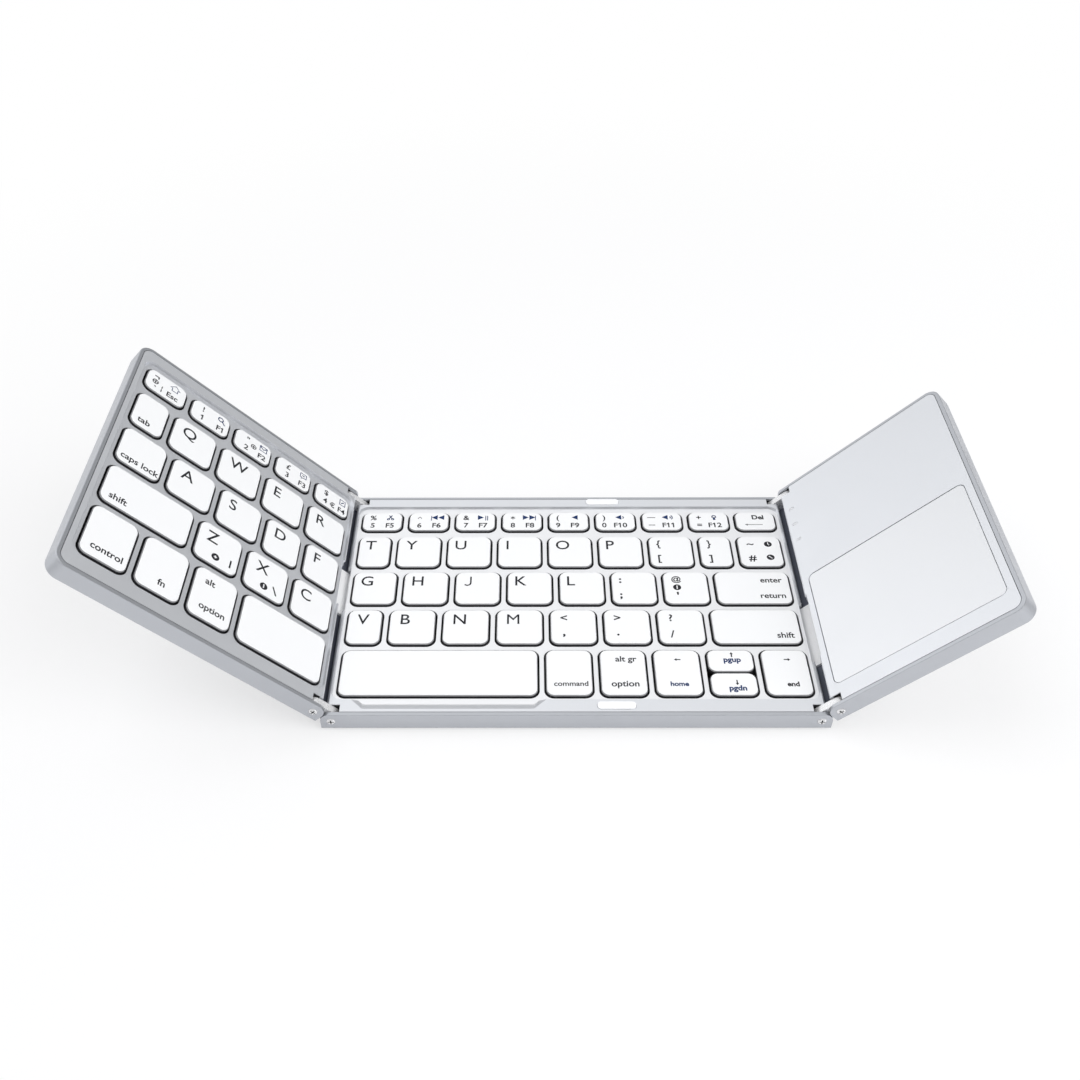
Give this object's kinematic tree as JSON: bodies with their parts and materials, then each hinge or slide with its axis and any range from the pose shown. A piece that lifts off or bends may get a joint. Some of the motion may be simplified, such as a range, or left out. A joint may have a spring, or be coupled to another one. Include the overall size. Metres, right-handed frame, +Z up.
{
  "type": "folding keyboard",
  "caption": "Compact folding keyboard: a key panel between a key wing and a touchpad wing, each wing on double-pivot links so that both fold flat over the middle.",
  "frame": {"origin": "on the desk under the middle of the centre panel, at the face of its middle rubber foot", "axes": "+X to the typist's right along the keyboard, +Y to the back edge, +Z up"},
  "size_m": [0.2601, 0.0986, 0.0703],
  "materials": {
    "shell_aluminium": "fine satin, anodised silver",
    "frame_plastic": "satin silver paint",
    "touch_surface": "smooth satin",
    "hinge_steel": "brushed",
    "spine_plastic": "matte",
    "key_plastic": "satin",
    "bumper_rubber": "soft matte",
    "foot_rubber": "matte",
    "circuit_board": "solder mask",
    "battery_wrap": "foil pouch",
    "socket_steel": "nickel plated",
    "indicator_lens": "clear over dark"
  },
  "bodies": {
    "centre": {"centre_bottom_shell": "shell_aluminium", "centre_key_frame": "frame_plastic", "centre_switch_board": "circuit_board", "centre_hinge_screws": "hinge_steel", "bumper_pads": "bumper_rubber", "centre_feet": "foot_rubber"},
    "left_link": {"left_hinge_links": "hinge_steel", "left_hinge_spine": "spine_plastic", "left_cable_bridge": "frame_plastic"},
    "left_wing": {"left_bottom_shell": "shell_aluminium", "left_key_frame": "frame_plastic", "left_switch_board": "circuit_board", "left_hinge_screws": "hinge_steel", "left_feet": "foot_rubber"},
    "right_link": {"right_hinge_links": "hinge_steel", "right_hinge_spine": "spine_plastic", "right_cable_bridge": "frame_plastic"},
    "right_wing": {"right_bottom_shell": "shell_aluminium", "right_top_cover": "frame_plastic", "touchpad": "touch_surface", "battery": "battery_wrap", "main_circuit_board": "circuit_board", "charging_socket": "socket_steel", "indicator_windows": "indicator_lens", "right_hinge_screws": "hinge_steel", "right_feet": "foot_rubber"},
    "left_number_keys": {"left_number_keys": "key_plastic"},
    "left_edge_keys": {"left_edge_keys": "key_plastic"},
    "left_space_key": {"left_space_key": "key_plastic"},
    "key_q": {"key_q": "key_plastic"},
    "key_w": {"key_w": "key_plastic"},
    "key_e": {"key_e": "key_plastic"},
    "key_r": {"key_r": "key_plastic"},
    "key_a": {"key_a": "key_plastic"},
    "key_s": {"key_s": "key_plastic"},
    "key_d": {"key_d": "key_plastic"},
    "key_f": {"key_f": "key_plastic"},
    "key_z": {"key_z": "key_plastic"},
    "key_x": {"key_x": "key_plastic"},
    "key_c": {"key_c": "key_plastic"},
    "centre_number_keys": {"centre_number_keys": "key_plastic"},
    "punctuation_keys": {"punctuation_keys": "key_plastic"},
    "right_edge_keys": {"right_edge_keys": "key_plastic"},
    "centre_space_key": {"centre_space_key": "key_plastic"},
    "navigation_keys": {"navigation_keys": "key_plastic"},
    "key_t": {"key_t": "key_plastic"},
    "key_y": {"key_y": "key_plastic"},
    "key_u": {"key_u": "key_plastic"},
    "key_i": {"key_i": "key_plastic"},
    "key_o": {"key_o": "key_plastic"},
    "key_p": {"key_p": "key_plastic"},
    "key_g": {"key_g": "key_plastic"},
    "key_h": {"key_h": "key_plastic"},
    "key_j": {"key_j": "key_plastic"},
    "key_k": {"key_k": "key_plastic"},
    "key_l": {"key_l": "key_plastic"},
    "key_v": {"key_v": "key_plastic"},
    "key_b": {"key_b": "key_plastic"},
    "key_n": {"key_n": "key_plastic"},
    "key_m": {"key_m": "key_plastic"}
  },
  "joints": [
    {"name": "left_link_hinge", "type": "hinge", "parent": "centre", "child": "left_link", "pos_m": [-0.07235, 0, 0.0041], "axis": [0, 1, 0], "range_deg": [-45, 45]},
    {"name": "left_wing_hinge", "type": "hinge", "parent": "left_link", "child": "left_wing", "pos_m": [-0.07702, 0, 0.00877], "axis": [0, 1, 0], "range_deg": [0, 90]},
    {"name": "right_link_hinge", "type": "hinge", "parent": "centre", "child": "right_link", "pos_m": [0.07235, 0, 0.0041], "axis": [0, -1, 0], "range_deg": [-45, 45]},
    {"name": "right_wing_hinge", "type": "hinge", "parent": "right_link", "child": "right_wing", "pos_m": [0.07702, 0, 0.00877], "axis": [0, -1, 0], "range_deg": [0, 90]},
    {"name": "left_number_keys_press", "type": "slide", "parent": "left_wing", "child": "left_number_keys", "axis": [0.7071, 0, 0.7071], "range_m": [-0.0012, 0], "stiffness_N_per_m": 150, "springref_m": 0.002},
    {"name": "left_edge_keys_press", "type": "slide", "parent": "left_wing", "child": "left_edge_keys", "axis": [0.7071, 0, 0.7071], "range_m": [-0.0012, 0], "stiffness_N_per_m": 150, "springref_m": 0.002},
    {"name": "left_space_key_press", "type": "slide", "parent": "left_wing", "child": "left_space_key", "axis": [0.7071, 0, 0.7071], "range_m": [-0.0012, 0], "stiffness_N_per_m": 150, "springref_m": 0.002},
    {"name": "key_q_press", "type": "slide", "parent": "left_wing", "child": "key_q", "axis": [0.7071, 0, 0.7071], "range_m": [-0.0012, 0], "stiffness_N_per_m": 150, "springref_m": 0.002},
    {"name": "key_w_press", "type": "slide", "parent": "left_wing", "child": "key_w", "axis": [0.7071, 0, 0.7071], "range_m": [-0.0012, 0], "stiffness_N_per_m": 150, "springref_m": 0.002},
    {"name": "key_e_press", "type": "slide", "parent": "left_wing", "child": "key_e", "axis": [0.7071, 0, 0.7071], "range_m": [-0.0012, 0], "stiffness_N_per_m": 150, "springref_m": 0.002},
    {"name": "key_r_press", "type": "slide", "parent": "left_wing", "child": "key_r", "axis": [0.7071, 0, 0.7071], "range_m": [-0.0012, 0], "stiffness_N_per_m": 150, "springref_m": 0.002},
    {"name": "key_a_press", "type": "slide", "parent": "left_wing", "child": "key_a", "axis": [0.7071, 0, 0.7071], "range_m": [-0.0012, 0], "stiffness_N_per_m": 150, "springref_m": 0.002},
    {"name": "key_s_press", "type": "slide", "parent": "left_wing", "child": "key_s", "axis": [0.7071, 0, 0.7071], "range_m": [-0.0012, 0], "stiffness_N_per_m": 150, "springref_m": 0.002},
    {"name": "key_d_press", "type": "slide", "parent": "left_wing", "child": "key_d", "axis": [0.7071, 0, 0.7071], "range_m": [-0.0012, 0], "stiffness_N_per_m": 150, "springref_m": 0.002},
    {"name": "key_f_press", "type": "slide", "parent": "left_wing", "child": "key_f", "axis": [0.7071, 0, 0.7071], "range_m": [-0.0012, 0], "stiffness_N_per_m": 150, "springref_m": 0.002},
    {"name": "key_z_press", "type": "slide", "parent": "left_wing", "child": "key_z", "axis": [0.7071, 0, 0.7071], "range_m": [-0.0012, 0], "stiffness_N_per_m": 150, "springref_m": 0.002},
    {"name": "key_x_press", "type": "slide", "parent": "left_wing", "child": "key_x", "axis": [0.7071, 0, 0.7071], "range_m": [-0.0012, 0], "stiffness_N_per_m": 150, "springref_m": 0.002},
    {"name": "key_c_press", "type": "slide", "parent": "left_wing", "child": "key_c", "axis": [0.7071, 0, 0.7071], "range_m": [-0.0012, 0], "stiffness_N_per_m": 150, "springref_m": 0.002},
    {"name": "centre_number_keys_press", "type": "slide", "parent": "centre", "child": "centre_number_keys", "axis": [0, 0, 1], "range_m": [-0.0012, 0], "stiffness_N_per_m": 150, "springref_m": 0.002},
    {"name": "punctuation_keys_press", "type": "slide", "parent": "centre", "child": "punctuation_keys", "axis": [0, 0, 1], "range_m": [-0.0012, 0], "stiffness_N_per_m": 150, "springref_m": 0.002},
    {"name": "right_edge_keys_press", "type": "slide", "parent": "centre", "child": "right_edge_keys", "axis": [0, 0, 1], "range_m": [-0.0012, 0], "stiffness_N_per_m": 150, "springref_m": 0.002},
    {"name": "centre_space_key_press", "type": "slide", "parent": "centre", "child": "centre_space_key", "axis": [0, 0, 1], "range_m": [-0.0012, 0], "stiffness_N_per_m": 150, "springref_m": 0.002},
    {"name": "navigation_keys_press", "type": "slide", "parent": "centre", "child": "navigation_keys", "axis": [0, 0, 1], "range_m": [-0.0012, 0], "stiffness_N_per_m": 150, "springref_m": 0.002},
    {"name": "key_t_press", "type": "slide", "parent": "centre", "child": "key_t", "axis": [0, 0, 1], "range_m": [-0.0012, 0], "stiffness_N_per_m": 150, "springref_m": 0.002},
    {"name": "key_y_press", "type": "slide", "parent": "centre", "child": "key_y", "axis": [0, 0, 1], "range_m": [-0.0012, 0], "stiffness_N_per_m": 150, "springref_m": 0.002},
    {"name": "key_u_press", "type": "slide", "parent": "centre", "child": "key_u", "axis": [0, 0, 1], "range_m": [-0.0012, 0], "stiffness_N_per_m": 150, "springref_m": 0.002},
    {"name": "key_i_press", "type": "slide", "parent": "centre", "child": "key_i", "axis": [0, 0, 1], "range_m": [-0.0012, 0], "stiffness_N_per_m": 150, "springref_m": 0.002},
    {"name": "key_o_press", "type": "slide", "parent": "centre", "child": "key_o", "axis": [0, 0, 1], "range_m": [-0.0012, 0], "stiffness_N_per_m": 150, "springref_m": 0.002},
    {"name": "key_p_press", "type": "slide", "parent": "centre", "child": "key_p", "axis": [0, 0, 1], "range_m": [-0.0012, 0], "stiffness_N_per_m": 150, "springref_m": 0.002},
    {"name": "key_g_press", "type": "slide", "parent": "centre", "child": "key_g", "axis": [0, 0, 1], "range_m": [-0.0012, 0], "stiffness_N_per_m": 150, "springref_m": 0.002},
    {"name": "key_h_press", "type": "slide", "parent": "centre", "child": "key_h", "axis": [0, 0, 1], "range_m": [-0.0012, 0], "stiffness_N_per_m": 150, "springref_m": 0.002},
    {"name": "key_j_press", "type": "slide", "parent": "centre", "child": "key_j", "axis": [0, 0, 1], "range_m": [-0.0012, 0], "stiffness_N_per_m": 150, "springref_m": 0.002},
    {"name": "key_k_press", "type": "slide", "parent": "centre", "child": "key_k", "axis": [0, 0, 1], "range_m": [-0.0012, 0], "stiffness_N_per_m": 150, "springref_m": 0.002},
    {"name": "key_l_press", "type": "slide", "parent": "centre", "child": "key_l", "axis": [0, 0, 1], "range_m": [-0.0012, 0], "stiffness_N_per_m": 150, "springref_m": 0.002},
    {"name": "key_v_press", "type": "slide", "parent": "centre", "child": "key_v", "axis": [0, 0, 1], "range_m": [-0.0012, 0], "stiffness_N_per_m": 150, "springref_m": 0.002},
    {"name": "key_b_press", "type": "slide", "parent": "centre", "child": "key_b", "axis": [0, 0, 1], "range_m": [-0.0012, 0], "stiffness_N_per_m": 150, "springref_m": 0.002},
    {"name": "key_n_press", "type": "slide", "parent": "centre", "child": "key_n", "axis": [0, 0, 1], "range_m": [-0.0012, 0], "stiffness_N_per_m": 150, "springref_m": 0.002},
    {"name": "key_m_press", "type": "slide", "parent": "centre", "child": "key_m", "axis": [0, 0, 1], "range_m": [-0.0012, 0], "stiffness_N_per_m": 150, "springref_m": 0.002}
  ]
}
